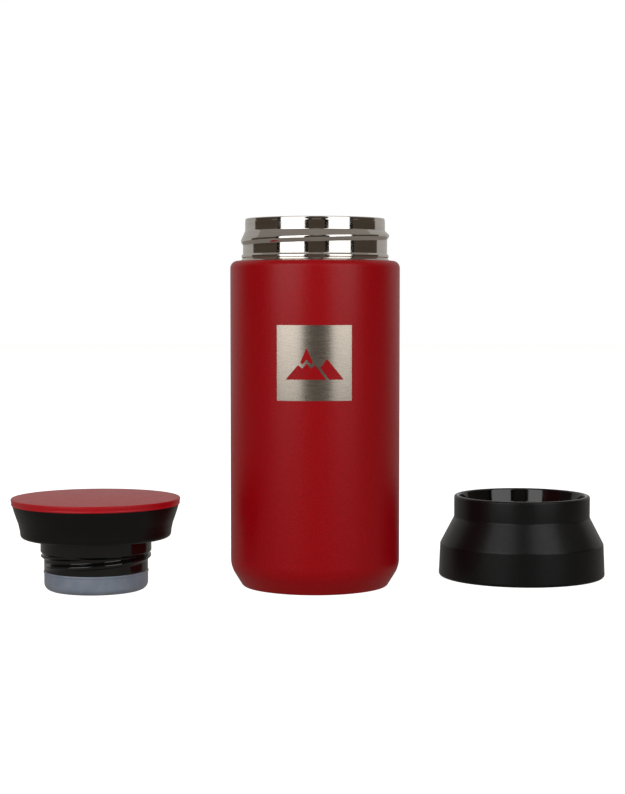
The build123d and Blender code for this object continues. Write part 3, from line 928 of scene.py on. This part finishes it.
def panel(name, width, height, centre, aim):
    """A flat board that faces a point."""
    mesh = bpy.data.meshes.new(name)
    half_width = width / 2
    half_height = height / 2
    corners = [
        (-half_width, -half_height, 0), (half_width, -half_height, 0),
        (half_width, half_height, 0), (-half_width, half_height, 0),
    ]
    mesh.from_pydata(corners, [], [(0, 1, 2, 3)])
    board = bpy.data.objects.new(name, mesh)
    board.location = centre
    board.rotation_euler = (Vector(aim) - Vector(centre)).to_track_quat("Z", "Y").to_euler()
    bpy.context.scene.collection.objects.link(board)
    return board


def glow(name, strength, colour, paint):
    """A plain glowing studio surface, painted a shade of grey."""
    material = bpy.data.materials.new(name)
    material.use_nodes = True
    shader = material.node_tree.nodes["Principled BSDF"]
    shader.inputs["Base Color"].default_value = (paint, paint, paint, 1)
    shader.inputs["Roughness"].default_value = 0.9
    shader.inputs["Emission Color"].default_value = (*colour, 1)
    shader.inputs["Emission Strength"].default_value = strength
    return material


def hidden_board(name, size, centre, aim, finish, lights_the_scene):
    """A studio board off the picture: it shows in reflections but not to the camera."""
    board = panel(name, *size, centre, aim)
    board.data.materials.append(finish)
    board.visible_camera = False
    board.visible_diffuse = lights_the_scene
    board.visible_shadow = False


def softbox(name, azimuth, width, power):
    """An upright soft light in a black frame, aimed at the bottle."""
    light = bpy.data.lights.new(name, "AREA")
    light.shape = "RECTANGLE"
    light.size = width
    light.size_y = SOFTBOX_TALL
    light.energy = power
    lamp = bpy.data.objects.new(name, light)
    turn = math.radians(azimuth)
    across = SOFTBOX_DISTANCE * math.sin(turn)
    forward = -SOFTBOX_DISTANCE * math.cos(turn)
    lamp.location = (across, forward, SOFTBOX_HEIGHT)
    towards = SOFTBOX_AIM - lamp.location
    lamp.rotation_euler = towards.to_track_quat("-Z", "Y").to_euler()
    bpy.context.scene.collection.objects.link(lamp)
    frame_size = (width + 2 * SOFTBOX_BORDER, SOFTBOX_TALL + 2 * SOFTBOX_BORDER)
    behind = lamp.location - SOFTBOX_FRAME_GAP * towards.normalized()
    black = glow(name + "_frame_black", 0, BLACK, 0)
    hidden_board(name + "_frame", frame_size, behind, SOFTBOX_AIM, black, False)


def bounce_boards():
    """Backdrop behind the bottle, a board under the table and one overhead."""
    backdrop = glow("backdrop_glow", 0.44, CREAM, BOARD_PAINT)
    hidden_board("backdrop", (5.0, 2.4), (0, 1.2, 0.9), (0, 0, 0.9), backdrop, True)
    table = glow("table_bounce_glow", 0.22, WARM, BOARD_PAINT)
    hidden_board("table_bounce", (5.0, 5.0), (0, 0, -0.002), (0, 0, 1), table, True)
    ceiling = glow("ceiling_bounce_glow", 0.26, WARM, BOARD_PAINT)
    hidden_board("ceiling_bounce", (8.0, 8.0), (0, 0, 1.9), (0, 0, 0), ceiling, False)


def room():
    """The room round the studio: brown in reflections, dim as light, white to the camera."""
    world = bpy.data.worlds.new("studio_room")
    world.use_nodes = True
    nodes = world.node_tree.nodes
    links = world.node_tree.links
    sight = nodes.new("ShaderNodeLightPath")
    unseen = nodes.new("ShaderNodeMix")
    unseen.data_type = "RGBA"
    unseen.inputs["A"].default_value = ROOM_LIGHT
    unseen.inputs["B"].default_value = ROOM_REFLECTION
    links.new(sight.outputs["Is Glossy Ray"], unseen.inputs["Factor"])
    walls = nodes.new("ShaderNodeMix")
    walls.data_type = "RGBA"
    walls.inputs["B"].default_value = ROOM_SEEN
    links.new(unseen.outputs["Result"], walls.inputs["A"])
    links.new(sight.outputs["Is Camera Ray"], walls.inputs["Factor"])
    links.new(walls.outputs["Result"], nodes["Background"].inputs["Color"])
    bpy.context.scene.world = world


def studio():
    """White floor, bounce boards, two framed softboxes and a dim room."""
    bpy.context.scene.view_settings.view_transform = "Standard"
    floor = panel("floor", 8, 8, (0, 0, 0), (0, 0, 1))
    floor.data.materials.append(glow("floor_white", 0.94, (1, 1, 1), FLOOR_PAINT))
    floor.visible_diffuse = False
    floor.visible_glossy = False
    bounce_boards()
    softbox("softbox_left", -36.5, 0.78, 5.1)
    softbox("softbox_right", 39.4, 0.69, 4.2)
    room()


def camera():
    """The camera, level with the upper body and tilted a little down."""
    data = bpy.data.cameras.new("camera")
    data.sensor_width = 36
    data.sensor_fit = "AUTO"
    data.lens = CAMERA_LENS
    eye = bpy.data.objects.new("camera", data)
    eye.location = CAMERA_PLACE
    eye.rotation_euler = (math.radians(90 - CAMERA_PITCH), 0, 0)
    bpy.context.scene.collection.objects.link(eye)
    bpy.context.scene.camera = eye


def paint_hidden_nodes(foil, foam, dull, steel):
    """Give the sealed inner CAD pieces their own finishes."""
    finishes = {
        "reflective_foil": foil, "lid_insulation": foam, "getter": dull,
        "vacuum_seal_bead": dull, "getter_clip": steel,
    }
    for node, material in finishes.items():
        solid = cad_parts[node]
        solid.data.materials.clear()
        solid.data.materials.append(material)


def main():
    satin_steel = satin_steel_material()
    silicone = silicone_material()
    black_satin = black_satin_material()
    black_gloss = black_gloss_material()
    camera()
    outer_shell(polished_steel_material(), brushed_steel_material())
    powder_coat(powder_coat_material())
    inner_liner(satin_steel)
    base_pieces(satin_steel)
    lid_disc(red_disc_material())
    lid_grip(black_satin)
    lid_plug(black_gloss)
    lid_boot(silicone)
    collar_outside(black_satin)
    collar_inside(black_gloss)
    collar_ring(silicone)
    paint_hidden_nodes(foil_material(), foam_material(), dull_metal_material(), satin_steel)
    studio()


main()
